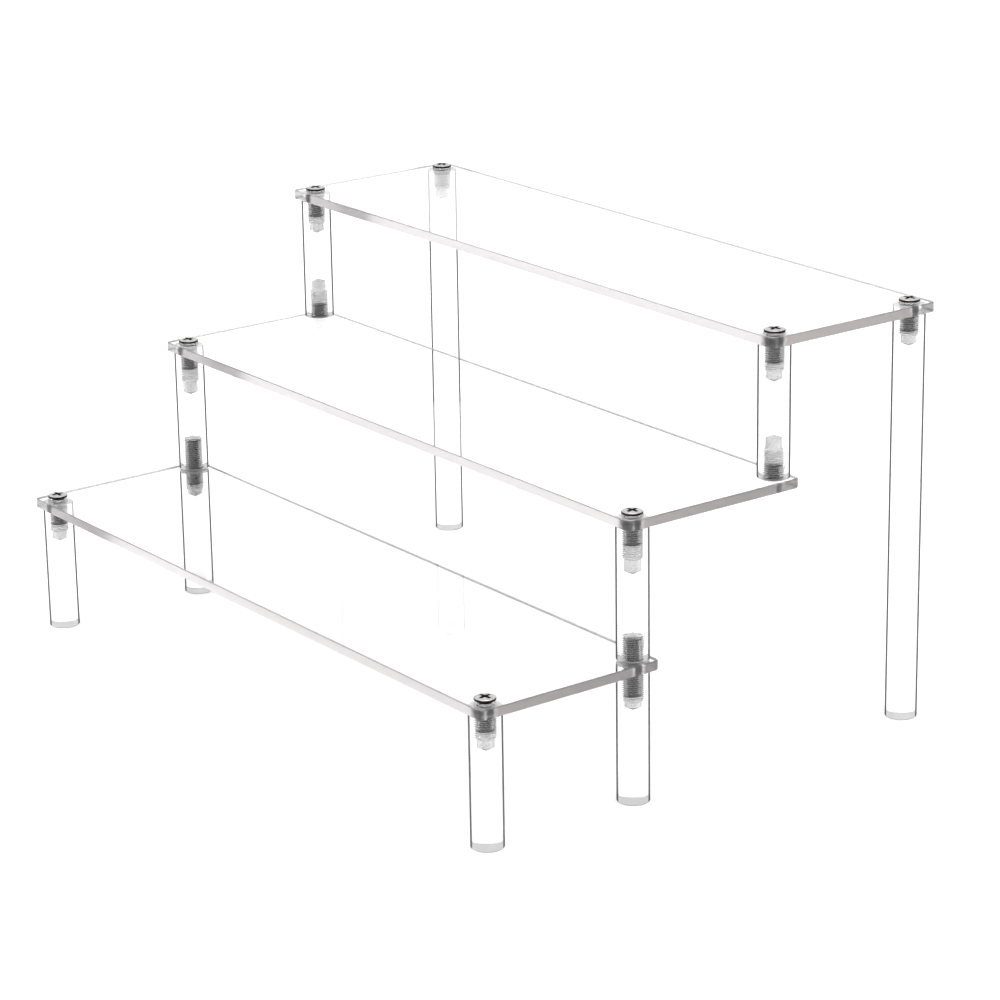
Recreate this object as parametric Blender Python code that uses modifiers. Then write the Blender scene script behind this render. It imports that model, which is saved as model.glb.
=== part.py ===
"""Three-step shelf riser: clear plates on solid clear rods, screwed together.

Metres, +Z up. The origin is on the floor, in the middle of the footprint. +X runs along the
shelves to the right and the steps climb towards +Y.
"""

import math

import bmesh
import bpy
from mathutils import Matrix

# ---------------------------------------------------------------- driving dimensions
SHELF_LENGTH = 0.375
SHELF_DEPTH = 0.0975
SHELF_THICKNESS = 0.0047
CORNER_RADIUS = 0.0025
ROD_DIAMETER = 0.015
ROD_EDGE_MARGIN = 0.001  # plate left outside a rod, at the ends and at the long edges
POST_LENGTH = 0.0615  # legs and posts of one storey
GAP = 0.0003  # between faces that touch on the real stand

THREAD_DIAMETER = 0.0054  # mean diameter of the metric thread on screws and studs
DRILL_UNDERSIZE = 0.0006  # of the drilled hole that runs on below a tapped thread
SCREW_CLEARANCE = 0.0012  # of the plain holes in the shelves
DRILL_TIP_ANGLE = math.radians(118)
END_CHAMFER = 0.0008

SCREW_LENGTH = 0.014  # under the head
HEAD_DIAMETER = 0.0098
HEAD_RIM = 0.0009
HEAD_CROWN = 0.0006
RECESS_SPAN = 0.0055
RECESS_WIDTH = 0.0012
RECESS_DEPTH = 0.0020
RECESS_TAPER = 0.45  # width at the recess's floor, as a share of that at its mouth
RECESS_OVERSHOOT = 0.0004  # of the cutter above the crown
LOWER_SCREWS_PROUD = 0.0007  # the lower front screws stand a little off their shelf

STUD_LENGTH = 0.028
STUD_REACH_DOWN = {"left": 0.0070, "right": 0.0118}  # into the rear leg
GRUB_LENGTH = 0.012
SOCKET_ACROSS_FLATS = 0.003
SOCKET_DEPTH = 0.0024

# Thread past the screw's end, and plain drilled hole past the thread.
SPARE_THREAD = {"front_leg": 0.0031, "rear_leg": 0.0022, "middle_post_foot": 0.0006,
                "middle_post_head": 0.0060, "upper_post_foot": 0.0066,
                "upper_post_head": 0.0030, "back_leg": 0.0012}
PILOT_RUN = {"front_leg": 0.0054, "rear_leg": 0.0040, "middle_post_foot": 0.0015,
             "middle_post_head": 0.0072, "upper_post_foot": 0.0066,
             "upper_post_head": 0.0054, "back_leg": 0.0054}

ROD_SIDES = 24
SCREW_SIDES = 20
HOLE_SIDES = 24
CORNER_SEGMENTS = 5

# ---------------------------------------------------------------- sizes and places that follow
TAPPED_DIAMETER = THREAD_DIAMETER + 2 * GAP
PILOT_DIAMETER = THREAD_DIAMETER - DRILL_UNDERSIZE
CLEARANCE_DIAMETER = THREAD_DIAMETER + SCREW_CLEARANCE
HOLE_INSET = ROD_DIAMETER / 2 + ROD_EDGE_MARGIN
STEP_DEPTH = SHELF_DEPTH - 2 * HOLE_INSET  # from one row of holes to the next
OVERALL_DEPTH = 2 * STEP_DEPTH + SHELF_DEPTH
STOREY = POST_LENGTH + SHELF_THICKNESS + 2 * GAP
ROD_X = SHELF_LENGTH / 2 - HOLE_INSET
SIDES = {"left": -ROD_X, "right": ROD_X}
SCREW_REACH = SCREW_LENGTH - SHELF_THICKNESS - 2 * GAP  # into the rod
STUD_REACH_UP = {side: STUD_LENGTH - SHELF_THICKNESS - 2 * GAP - down
                 for side, down in STUD_REACH_DOWN.items()}
GRUB_REACH = GRUB_LENGTH - SHELF_THICKNESS - GAP


def row_y(row):
    """Y of a row of rods: 0 under the lower shelf's front edge, 3 under the upper one's rear."""
    return -OVERALL_DEPTH / 2 + HOLE_INSET + row * STEP_DEPTH


def shelf_base(level):
    """Z of a shelf's underside; level 0 is the lower shelf."""
    return POST_LENGTH + GAP + level * STOREY


def shelf_top(level):
    return shelf_base(level) + SHELF_THICKNESS


# ---------------------------------------------------------------- scene and materials
for old in list(bpy.data.objects):
    bpy.data.objects.remove(old, do_unlink=True)

riser = bpy.data.collections.new("tiered_shelf_riser")
cutters = bpy.data.collections.new("cutters")
bpy.context.scene.collection.children.link(riser)
bpy.context.scene.collection.children.link(cutters)


def principled(name, colour, roughness, metallic=0.0, transmission=0.0, ior=1.49):
    material = bpy.data.materials.new(name)
    material.use_nodes = True
    shader = material.node_tree.nodes["Principled BSDF"]
    shader.inputs["Base Color"].default_value = (*colour, 1.0)
    shader.inputs["Roughness"].default_value = roughness
    shader.inputs["Metallic"].default_value = metallic
    shader.inputs["Transmission Weight"].default_value = transmission
    shader.inputs["IOR"].default_value = ior
    return material


sheet_acrylic = principled("sheet_acrylic", (0.96, 0.97, 0.97), 0.04, transmission=1.0)
rod_acrylic = principled("rod_acrylic", (0.98, 0.98, 0.98), 0.02, transmission=1.0)
screw_steel = principled("screw_steel", (0.62, 0.61, 0.60), 0.28, metallic=1.0, ior=2.5)


# ---------------------------------------------------------------- shared tools
def add_object(name, mesh, collection, location=(0.0, 0.0, 0.0)):
    obj = bpy.data.objects.new(name, mesh)
    collection.objects.link(obj)
    obj.location = location
    return obj


def finish_mesh(bm, name):
    mesh = bpy.data.meshes.new(name)
    bm.to_mesh(mesh)
    bm.free()
    return mesh


def evaluated_mesh(obj, name):
    """The object's mesh with its modifiers applied; the object itself is removed."""
    bpy.context.view_layer.update()
    depsgraph = bpy.context.evaluated_depsgraph_get()
    mesh = bpy.data.meshes.new_from_object(obj.evaluated_get(depsgraph))
    mesh.name = name
    bpy.data.objects.remove(obj, do_unlink=True)
    return mesh


def shade_round(mesh):
    mesh.shade_smooth()
    mesh.set_sharp_from_angle(angle=math.radians(30))


def turned(name, profile, sides):
    """Turns an (r, z) profile round Z. It starts and ends on the axis and runs down its outer side."""
    outline = bpy.data.meshes.new(name + "_profile")
    points = [(r, 0.0, z) for r, z in profile]
    outline.from_pydata(points, [(i, i + 1) for i in range(len(points) - 1)], [])
    obj = add_object(name + "_profile", outline, riser)
    spin = obj.modifiers.new("turn", "SCREW")
    spin.angle = math.tau
    spin.steps = sides
    spin.render_steps = sides
    spin.use_merge_vertices = True
    spin.merge_threshold = 0.00001
    mesh = evaluated_mesh(obj, name)
    shade_round(mesh)
    return mesh


def cutter(name, mesh, location=(0.0, 0.0, 0.0)):
    obj = add_object(name, mesh, cutters, location)
    obj.hide_render = True
    obj.display_type = "WIRE"
    return obj


def cut(obj, tool):
    boolean = obj.modifiers.new("cut_" + tool.name, "BOOLEAN")
    boolean.operation = "DIFFERENCE"
    boolean.solver = "EXACT"
    boolean.object = tool


def prism(name, sides, radius, depth):
    """An upright prism centred on the origin."""
    bm = bmesh.new()
    bmesh.ops.create_cone(bm, cap_ends=True, segments=sides, radius1=radius, radius2=radius,
                          depth=depth)
    return finish_mesh(bm, name)


def place(name, mesh, material, location):
    if not mesh.materials:
        mesh.materials.append(material)
    return add_object(name, mesh, riser, location)


# ---------------------------------------------------------------- shelves
def shelf_plate():
    """A flat plate on z = 0, centred in X and Y, with its upright edges rounded."""
    bm = bmesh.new()
    bmesh.ops.create_cube(bm, size=1.0)
    bmesh.ops.scale(bm, vec=(SHELF_LENGTH, SHELF_DEPTH, SHELF_THICKNESS), verts=bm.verts)
    bmesh.ops.translate(bm, vec=(0.0, 0.0, SHELF_THICKNESS / 2), verts=bm.verts)
    upright = [edge for edge in bm.edges
               if abs(edge.verts[0].co.z - edge.verts[1].co.z) > SHELF_THICKNESS / 2]
    bmesh.ops.bevel(bm, geom=upright, offset=CORNER_RADIUS, segments=CORNER_SEGMENTS,
                    profile=0.5, affect="EDGES")
    return finish_mesh(bm, "shelf_plate")


def hole_drill(diameter):
    return prism("hole_drill", HOLE_SIDES, diameter / 2, 3 * SHELF_THICKNESS)


def build_shelves():
    """Three plates. The middle shelf's rear holes are tapped and all the others are clearance holes."""
    for level, name in enumerate(("lower_shelf", "middle_shelf", "upper_shelf")):
        y = row_y(level) - HOLE_INSET + SHELF_DEPTH / 2
        shelf = place(name, shelf_plate(), sheet_acrylic, (0.0, y, shelf_base(level)))
        for row in (level, level + 1):
            tapped = name == "middle_shelf" and row == level + 1
            mesh = hole_drill(TAPPED_DIAMETER if tapped else CLEARANCE_DIAMETER)
            for side, x in SIDES.items():
                spot = (x, row_y(row), shelf_base(level) + SHELF_THICKNESS / 2)
                cut(shelf, cutter(f"{name}_hole_{row}_{side}", mesh, spot))


# ---------------------------------------------------------------- rods
def blind_hole(mouth_z, into, reach, spot):
    """Profile points of a tapped blind hole, from its drill tip on the axis out to its mouth."""
    thread_end = mouth_z + into * (reach + SPARE_THREAD[spot])
    tip = thread_end + into * PILOT_RUN[spot]
    cone = PILOT_DIAMETER / 2 / math.tan(DRILL_TIP_ANGLE / 2)
    return [(0.0, tip), (PILOT_DIAMETER / 2, tip - into * cone),
            (PILOT_DIAMETER / 2, thread_end), (TAPPED_DIAMETER / 2, thread_end),
            (TAPPED_DIAMETER / 2, mouth_z)]


def rod_mesh(name, length, head=None, foot=None):
    """An upright rod on z = 0. head and foot are (reach, spot) of the tapped holes at its ends."""
    radius = ROD_DIAMETER / 2
    profile = blind_hole(length, -1, *head) if head else [(0.0, length)]
    profile += [(radius, length), (radius, 0.0)]
    profile += list(reversed(blind_hole(0.0, 1, *foot))) if foot else [(0.0, 0.0)]
    return turned(name, profile, ROD_SIDES)


def build_rods():
    back_length = shelf_base(2) - GAP
    for side, x in SIDES.items():
        # node, row, z of its foot, length, hole at its head, hole at its foot
        rods = (
            ("front_leg", 0, 0.0, POST_LENGTH,
             (SCREW_REACH - LOWER_SCREWS_PROUD, "front_leg"), None),
            ("rear_leg", 1, 0.0, POST_LENGTH, (STUD_REACH_DOWN[side], "rear_leg"), None),
            ("middle_post", 1, shelf_top(0) + GAP, POST_LENGTH,
             (SCREW_REACH, "middle_post_head"), (STUD_REACH_UP[side], "middle_post_foot")),
            ("upper_post", 2, shelf_top(1) + GAP, POST_LENGTH,
             (SCREW_REACH, "upper_post_head"), (GRUB_REACH, "upper_post_foot")),
            ("back_leg", 3, 0.0, back_length, (SCREW_REACH, "back_leg"), None),
        )
        for name, row, base, length, head, foot in rods:
            mesh = rod_mesh(f"{name}_{side}", length, head, foot)
            place(f"{name}_{side}", mesh, rod_acrylic, (x, row_y(row), base))


# ---------------------------------------------------------------- fasteners
def cross_arm(turn):
    """One arm of the cross recess for a head that stands on z = 0, narrowing downwards."""
    crown = HEAD_RIM + HEAD_CROWN
    top_half = RECESS_SPAN / 2 / math.sqrt(0.5)
    bm = bmesh.new()
    bmesh.ops.create_cone(bm, cap_ends=True, segments=4, radius1=top_half * RECESS_TAPER,
                          radius2=top_half, depth=RECESS_DEPTH + RECESS_OVERSHOOT)
    bmesh.ops.rotate(bm, verts=bm.verts, matrix=Matrix.Rotation(math.radians(45), 3, "Z"))
    bmesh.ops.scale(bm, vec=(1.0, RECESS_WIDTH / RECESS_SPAN, 1.0), verts=bm.verts)
    bmesh.ops.rotate(bm, verts=bm.verts, matrix=Matrix.Rotation(turn, 3, "Z"))
    middle = crown + (RECESS_OVERSHOOT - RECESS_DEPTH) / 2
    bmesh.ops.translate(bm, vec=(0.0, 0.0, middle), verts=bm.verts)
    return finish_mesh(bm, "cross_arm")


def screw_mesh():
    """A low round head on z = 0 with a cross recess, and its shank below."""
    rim = HEAD_DIAMETER / 2
    shank = THREAD_DIAMETER / 2
    top = HEAD_RIM + HEAD_CROWN
    crown = [(rim * math.sin(a), HEAD_RIM + HEAD_CROWN * math.cos(a))
             for a in (math.radians(d) for d in (30, 50, 70, 90))]
    profile = [(0.0, top), *crown, (rim, 0.0), (shank, 0.0),
               (shank, END_CHAMFER - SCREW_LENGTH),
               (shank - END_CHAMFER, -SCREW_LENGTH), (0.0, -SCREW_LENGTH)]
    body = add_object("screw_body", turned("screw_body", profile, SCREW_SIDES), riser)
    arms = [cutter(f"cross_arm_{i}", cross_arm(i * math.pi / 2)) for i in range(2)]
    for arm in arms:
        cut(body, arm)
    mesh = evaluated_mesh(body, "cross_recess_screw")
    for arm in arms:
        bpy.data.objects.remove(arm, do_unlink=True)
    shade_round(mesh)
    return mesh


def headless_mesh(name, length, sockets):
    """A threaded stick from z = 0 up, chamfered at both ends; sockets lists the socketed ends."""
    shank = THREAD_DIAMETER / 2
    profile = [(0.0, length), (shank - END_CHAMFER, length), (shank, length - END_CHAMFER),
               (shank, END_CHAMFER), (shank - END_CHAMFER, 0.0), (0.0, 0.0)]
    body = add_object(name + "_body", turned(name, profile, SCREW_SIDES), riser)
    corner = SOCKET_ACROSS_FLATS / math.sqrt(3)
    tools = []
    for z in sockets:
        mesh = prism("hex_socket", 6, corner, 2 * SOCKET_DEPTH)
        tools.append(cutter(f"{name}_socket_{len(tools)}", mesh, (0.0, 0.0, z)))
        cut(body, tools[-1])
    mesh = evaluated_mesh(body, name)
    for tool in tools:
        bpy.data.objects.remove(tool, do_unlink=True)
    shade_round(mesh)
    return mesh


def build_fasteners():
    screw = screw_mesh()
    stud = headless_mesh("joining_stud", STUD_LENGTH, [0.0])
    grub = headless_mesh("grub_screw", GRUB_LENGTH, [0.0])
    screws = (("lower_front_screw", 0, 0, LOWER_SCREWS_PROUD), ("middle_front_screw", 1, 1, 0.0),
              ("upper_front_screw", 2, 2, 0.0), ("upper_rear_screw", 2, 3, 0.0))
    for side, x in SIDES.items():
        for name, level, row, proud in screws:
            seat = shelf_top(level) + GAP + proud
            place(f"{name}_{side}", screw, screw_steel, (x, row_y(row), seat))
        foot = shelf_base(0) - GAP - STUD_REACH_DOWN[side]
        place(f"joining_stud_{side}", stud, screw_steel, (x, row_y(1), foot))
        place(f"middle_rear_grub_screw_{side}", grub, screw_steel, (x, row_y(2), shelf_base(1)))


build_shelves()
build_rods()
build_fasteners()
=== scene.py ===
"""Looks of the three-step shelf riser: clear plates on clear rods, with their screws and studs.

Metres, +Z up. The origin is on the floor, in the middle of the footprint. +X runs along the
shelves to the right and the steps climb towards +Y. Each piece takes its place and its outer size
from the CAD node that it stands for, and adds what is too fine for that node: real screw threads,
drill tips, broken edges and cross recesses.
"""

import math

import bmesh
import bpy
import numpy as np
from bpy.props import FloatProperty, FloatVectorProperty, IntProperty, PointerProperty
from mathutils import Matrix, Vector


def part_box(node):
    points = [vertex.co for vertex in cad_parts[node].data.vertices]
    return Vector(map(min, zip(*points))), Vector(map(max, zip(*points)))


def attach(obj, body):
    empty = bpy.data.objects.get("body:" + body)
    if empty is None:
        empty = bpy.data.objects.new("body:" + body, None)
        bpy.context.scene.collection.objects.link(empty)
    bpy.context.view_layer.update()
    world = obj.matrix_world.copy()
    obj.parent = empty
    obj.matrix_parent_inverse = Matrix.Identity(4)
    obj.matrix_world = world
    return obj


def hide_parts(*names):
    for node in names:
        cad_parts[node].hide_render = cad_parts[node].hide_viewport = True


bl_info = {
    "name": "Tiered Shelf Riser",
    "version": (1, 0, 0),
    "blender": (4, 5, 0),
    "location": "View3D > Sidebar > Riser",
    "description": "Builds the clear plates, rods, screws and studio of a three-step shelf riser",
    "category": "Object",
}

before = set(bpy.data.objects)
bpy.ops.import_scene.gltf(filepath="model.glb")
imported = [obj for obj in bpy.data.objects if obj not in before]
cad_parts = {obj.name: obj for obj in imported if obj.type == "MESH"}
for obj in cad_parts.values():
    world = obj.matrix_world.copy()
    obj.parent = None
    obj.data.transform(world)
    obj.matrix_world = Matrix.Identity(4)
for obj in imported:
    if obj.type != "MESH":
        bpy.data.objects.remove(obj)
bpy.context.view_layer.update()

BODY = "root"
SIDES = ("left", "right")
SHELVES = ("lower_shelf", "middle_shelf", "upper_shelf")
RODS = ("front_leg", "rear_leg", "middle_post", "upper_post", "back_leg")
SCREWS = ("lower_front_screw", "middle_front_screw", "upper_front_screw", "upper_rear_screw")
HEADLESS = ("joining_stud", "middle_rear_grub_screw")
TAPPED_SHELF = "middle_shelf"
TAPPED_BY = "middle_rear_grub_screw"

# How much painted shade each plate's saw cut shows where light grazes it from inside, and how
# dull the drill left its holes, with their painted shade, as a share of the sheet's own edge
# finish.
EDGE_GRAZING_SHADE = {"lower_shelf": 1.0, "middle_shelf": 0.8, "upper_shelf": 0.5}
HOLE_DULLNESS_AND_SHADE = 0.35

# Where a thread's crest and root begin and end along one pitch: a 60 degree metric form.
THREAD_FORM = np.array([0.0, 0.125, 0.4375, 0.6875])
RECESS_TURN = math.radians(8)  # of the cross recesses from the long way of the shelves
RECESS_TURN_STEP = 0.05  # radians by which one screw's recess stands turned from another's
RECESS_FOOT = 0.42  # the recess's size at its floor, as a share of its size at the crown
# How far the blocks that cut recess and socket stand out of the screw, as a share of their depth.
RECESS_LIFT = 0.4
SOCKET_LIFT = 0.5
HEAD_FILLET = 0.0001
CROWN_SHARE = 0.985  # of the head's radius that its crowned top takes up
FLOOR_DROP = 0.0001  # of the floor below the feet, so that the two never lie in one plane
MERGE_DISTANCE = 1e-6
ON_AXIS = MERGE_DISTANCE * 50  # nearer than this, a CAD point counts as on a line or level
SAME_AXIS = 1e-4
SAME_LEVEL = 0.001
NO_HOLE = 0.9  # an end whose innermost ring is past this share of the rod's radius has no hole
SAME_WALL = 0.02  # of a hole's radius, within which a CAD point counts as on its wall
AT_RIM = 0.97  # of a head's radius, past which a CAD point counts as on its rim
SHARP_ANGLE = math.radians(20)
LEVEL = 0.99999  # of a face's upward part, past which it counts as level

ACRYLIC_IOR = 1.49
# The painted grey shade of a cut edge seen from outside, as a share of the painted shade it shows
# inside the sheet.
OUTER_CUT_SHARE = 0.55
# The painted dark shade of a broken edge seen from outside, as a share of full grey.
OUTER_ARRIS_SHARE = 0.14

# The material slots of the rods, in the order in which build_rod's materials are listed.
WALL, END, FILLED_THREAD, EMPTY_THREAD, DRILLED = range(5)
# The material slots of the screws and studs, in the order of steel_set; the last one is painted
# shade.
PLATED, ROLLED, PAINTED_SHADE = range(3)
# The patches of a plate: its flat faces, its outer edge and its holes.
FACE, EDGE, HOLE = range(3)


# ---------------------------------------------------------------- settings
class SheetSettings(bpy.types.PropertyGroup):
    """Sizes and colour of the three flat plates, with the painted shade of their edges."""

    corner_radius: FloatProperty(
        name="Corner Radius", description="Radius of the upright corners",
        default=0.0025, min=0.0005, unit="LENGTH")
    arris: FloatProperty(
        name="Arris", description="Width of the broken edge round both faces",
        default=0.0004, min=0.00005, unit="LENGTH")
    hole_diameter: FloatProperty(
        name="Hole", description="Diameter of the plain holes for the screws and studs",
        default=0.0066, min=0.001, unit="LENGTH")
    # Painted shade: the grey laid over the sawn edges and holes, stronger seen from inside the
    # sheet.
    cut_painted_shade: FloatVectorProperty(
        name="Cut Colour", description="Grey of the sawn edges",
        default=(0.13, 0.12, 0.125), min=0.0, max=1.0, subtype="COLOR")
    # Painted shade: dark grey laid over the broken edges, mostly where they are seen through the
    # sheet.
    arris_painted_shade: FloatVectorProperty(
        name="Arris Colour", description="Grey of the broken edges",
        default=(0.07, 0.07, 0.07), min=0.0, max=1.0, subtype="COLOR")
    # Shares of painted grey shade on the sawn edges, straight on and where grazed.
    cut_veil: FloatProperty(
        name="Cut Veil", description="Share of that grey in the sawn edges, seen straight on",
        default=0.10, min=0.0, max=1.0, subtype="FACTOR")
    grazing_veil: FloatProperty(
        name="Grazing Veil", description="Share of that grey in the sawn edges, seen at a slant",
        default=0.44, min=0.0, max=1.0, subtype="FACTOR")
    # Share of painted dark shade on the broken edges, seen through the sheet.
    arris_veil: FloatProperty(
        name="Arris Veil", description="Share of grey in the broken edges, seen through the sheet",
        default=0.9, min=0.0, max=1.0, subtype="FACTOR")
    absorbed_tint: FloatVectorProperty(
        name="Depth Tint", description="Colour that a long way through the sheet tends to",
        default=(0.80, 0.20, 0.26), min=0.0, max=1.0, subtype="COLOR")
    absorption: FloatProperty(
        name="Absorption", description="How fast the sheet takes up light, per metre",
        default=0.4, min=0.0)
    edge_roughness: FloatProperty(
        name="Edge Roughness", description="Roughness of the polished saw cut round the plates",
        default=0.30, min=0.0, max=1.0, subtype="FACTOR")


class RodSettings(bpy.types.PropertyGroup):
    """Sizes and finish of the ten round rods and of the threads cut in them, with the painted shade
    laid on their walls and holes.
    """

    arris: FloatProperty(
        name="Arris", description="Width of the broken edge at both ends",
        default=0.0002, min=0.00005, unit="LENGTH")
    mouth_chamfer: FloatProperty(
        name="Mouth Chamfer", description="Width of the chamfer at the mouth of a tapped hole",
        default=0.0002, min=0.00005, unit="LENGTH")
    crest_diameter: FloatProperty(
        name="Thread Across Roots", description="Widest diameter of the tapped thread",
        default=0.0062, min=0.001, unit="LENGTH")
    end_roughness: FloatProperty(
        name="End Roughness", description="Roughness of the faced ends",
        default=0.28, min=0.0, max=1.0, subtype="FACTOR")
    # Painted shade: a dark grey laid over the rod's wall where the eye only grazes it, as its dark
    # outline.
    painted_outline_shade: FloatVectorProperty(
        name="Outline", description="What the rod shows where the eye only grazes its wall",
        default=(0.10, 0.102, 0.102), min=0.0, max=1.0, subtype="COLOR")
    frost_colour: FloatVectorProperty(
        name="Frost", description="Pale grey of the holes, seen straight on",
        default=(0.84, 0.83, 0.84), min=0.0, max=1.0, subtype="COLOR")
    satin_colour: FloatVectorProperty(
        name="Satin", description="Grey of the faced ends",
        default=(0.56, 0.555, 0.56), min=0.0, max=1.0, subtype="COLOR")
    # Painted shade: dark grey laid on a filled thread, for the screw seen dark inside it.
    painted_shade_colour: FloatVectorProperty(
        name="Thread Shade", description="Dark grey of a thread that a screw fills",
        default=(0.04, 0.04, 0.041), min=0.0, max=1.0, subtype="COLOR")
    # Painted shade: the grey that the hole walls take where they turn away from the eye.
    painted_hole_shade: FloatVectorProperty(
        name="Hole Shade", description="What the walls of the holes show where they turn away",
        default=(0.34, 0.335, 0.34), min=0.0, max=1.0, subtype="COLOR")


class ScrewSettings(bpy.types.PropertyGroup):
    """Sizes and colours of the screws and studs, with the painted shade of their threads, rims,
    recesses and sockets.
    """

    pitch: FloatProperty(
        name="Pitch", description="Distance from one thread to the next",
        default=0.001, min=0.0003, unit="LENGTH")
    crest_diameter: FloatProperty(
        name="Thread Diameter", description="Outer diameter of the thread",
        default=0.0060, min=0.001, unit="LENGTH")
    thread_height: FloatProperty(
        name="Thread Height", description="From the root of a thread to its crest",
        default=0.00056, min=0.0001, unit="LENGTH")
    point: FloatProperty(
        name="Point", description="Length of the chamfer at a thread's free end",
        default=0.0007, min=0.0001, unit="LENGTH")
    recess_span: FloatProperty(
        name="Recess Span", description="Length of the cross recess from tip to tip",
        default=0.0074, min=0.001, unit="LENGTH")
    recess_width: FloatProperty(
        name="Recess Width", description="Width of each arm of the cross recess",
        default=0.0020, min=0.0002, unit="LENGTH")
    recess_depth: FloatProperty(
        name="Recess Depth", description="Depth of the cross recess",
        default=0.0019, min=0.0002, unit="LENGTH")
    socket_across_flats: FloatProperty(
        name="Socket", description="Hexagon socket of the headless screws, across its flats",
        default=0.003, min=0.001, unit="LENGTH")
    socket_depth: FloatProperty(
        name="Socket Depth", description="Depth of the hexagon socket",
        default=0.0024, min=0.0005, unit="LENGTH")
    plating_colour: FloatVectorProperty(
        name="Plating", description="Colour of the bright plated head",
        default=(0.46, 0.455, 0.44), min=0.0, max=1.0, subtype="COLOR")
    # Painted shade: the rolled thread is near-black so that it reads dark inside its hole; its dull
    # finish is its roughness.
    thread_painted_shade: FloatVectorProperty(
        name="Thread", description="Colour of the dull rolled thread",
        default=(0.032, 0.031, 0.032), min=0.0, max=1.0, subtype="COLOR")
    # Painted shade: near-black steel laid on the head's rim and underside and in the recess and
    # socket.
    painted_shade_colour: FloatVectorProperty(
        name="Dark Steel", description="Colour of the head's rim and recess",
        default=(0.018, 0.018, 0.017), min=0.0, max=1.0, subtype="COLOR")


class MeshSettings(bpy.types.PropertyGroup):
    """How finely the round surfaces are divided."""

    columns: IntProperty(
        name="Columns", description="Divisions round a rod, a screw or a hole",
        default=96, min=24, max=160)
    corner_segments: IntProperty(
        name="Corner Segments", description="Divisions of a plate's round corner",
        default=10, min=3, max=32)


class StageSettings(bpy.types.PropertyGroup):
    """Camera, floor and lights."""

    aim: FloatVectorProperty(
        name="Aim", description="Point that the camera looks at",
        default=(0.01411, 0.01166, 0.08676), unit="LENGTH", subtype="TRANSLATION")
    distance: FloatProperty(
        name="Distance", description="From the aim to the camera",
        default=1.68446, min=0.1, unit="LENGTH")
    azimuth: FloatProperty(
        name="Azimuth", description="Turn of the camera round the riser, from straight in front",
        default=math.radians(53.326), unit="ROTATION", subtype="ANGLE")
    elevation: FloatProperty(
        name="Elevation", description="Height of the camera above the horizon",
        default=math.radians(18.179), unit="ROTATION", subtype="ANGLE")
    roll: FloatProperty(
        name="Roll", description="Tilt of the camera round its own line of sight",
        default=math.radians(-0.93), unit="ROTATION", subtype="ANGLE")
    lens: FloatProperty(
        name="Lens", description="Focal length in millimetres on a 36 mm sensor",
        default=126.625, min=10.0)
    floor_size: FloatProperty(
        name="Floor", description="Width of the square floor",
        default=24.0, min=1.0, unit="LENGTH")
    floor_colour: FloatVectorProperty(
        name="Floor Colour", description="Pale colour of the floor",
        default=(0.96, 0.96, 0.96), min=0.0, max=1.0, subtype="COLOR")
    surround: FloatProperty(
        name="Surround", description="Brightness of the white studio all round",
        default=1.22, min=0.0)
    softbox_size: FloatProperty(
        name="Softbox", description="Width of the square softbox overhead",
        default=1.4, min=0.1, unit="LENGTH")
    softbox_height: FloatProperty(
        name="Softbox Height", description="Height of the softbox above the floor",
        default=1.6, min=0.2, unit="LENGTH")
    softbox_power: FloatProperty(
        name="Softbox Power", description="Power of the softbox in watts",
        default=16.0, min=0.0)


SETTINGS = {
    "riser_sheet": SheetSettings,
    "riser_rod": RodSettings,
    "riser_screw": ScrewSettings,
    "riser_mesh": MeshSettings,
    "riser_stage": StageSettings,
}


# ---------------------------------------------------------------- reading the CAD nodes
def node_points(node):
    """All the corner points of a CAD node, as an array of rows (x, y, z)."""
    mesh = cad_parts[node].data
    points = np.empty(len(mesh.vertices) * 3, np.float32)
    mesh.vertices.foreach_get("co", points)
    return points.reshape(-1, 3).astype(float)


def node_axis(node):
    """(x, y) of the upright axis of a turned CAD node: the middle of its box."""
    low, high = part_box(node)
    return np.array([(low.x + high.x) / 2, (low.y + high.y) / 2])


def tapped_holes(node):
    """The blind holes of a rod: (mouth z, z where the thread ends, z of the drill tip) for each."""
    low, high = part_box(node)
    points = node_points(node)
    reach = np.hypot(*(points[:, :2] - node_axis(node)).T)
    heights = points[:, 2]
    on_axis = heights[reach < ON_AXIS]
    middle = (low.z + high.z) / 2
    holes = []
    for mouth in (high.z, low.z):
        level = np.abs(heights - mouth) < ON_AXIS
        inner = reach[level & (reach > ON_AXIS)].min()
        if inner > reach.max() * NO_HOLE:
            continue
        wall = heights[np.abs(reach - inner) < inner * SAME_WALL]
        near = (wall - middle) * (mouth - middle) > 0
        tips = on_axis[(on_axis - middle) * (mouth - middle) > 0]
        inwards = np.argmax(np.abs(wall[near] - mouth))
        holes.append((mouth, wall[near][inwards], tips[0]))
    return holes


# ---------------------------------------------------------------- surfaces as grids
def ring_grid(axis, radii, heights, columns):
    """A turned surface: point (i, j) is radii[i] from the upright axis, heights[i] up, at the
    angle of j parts in columns of a full turn."""
    angle = np.linspace(0.0, math.tau, columns + 1)
    radii = np.asarray(radii, float)[:, None]
    x = axis[0] + radii * np.cos(angle)
    y = axis[1] + radii * np.sin(angle)
    z = np.asarray(heights, float)[:, None] + 0.0 * angle
    return np.stack([x, y, z], axis=-1)


def thread_radii(crest_diameter, height):
    """Radii of a thread's crest, of its root and halfway between them."""
    crest = crest_diameter / 2
    root = crest - height
    return crest, root, (crest + root) / 2


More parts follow.
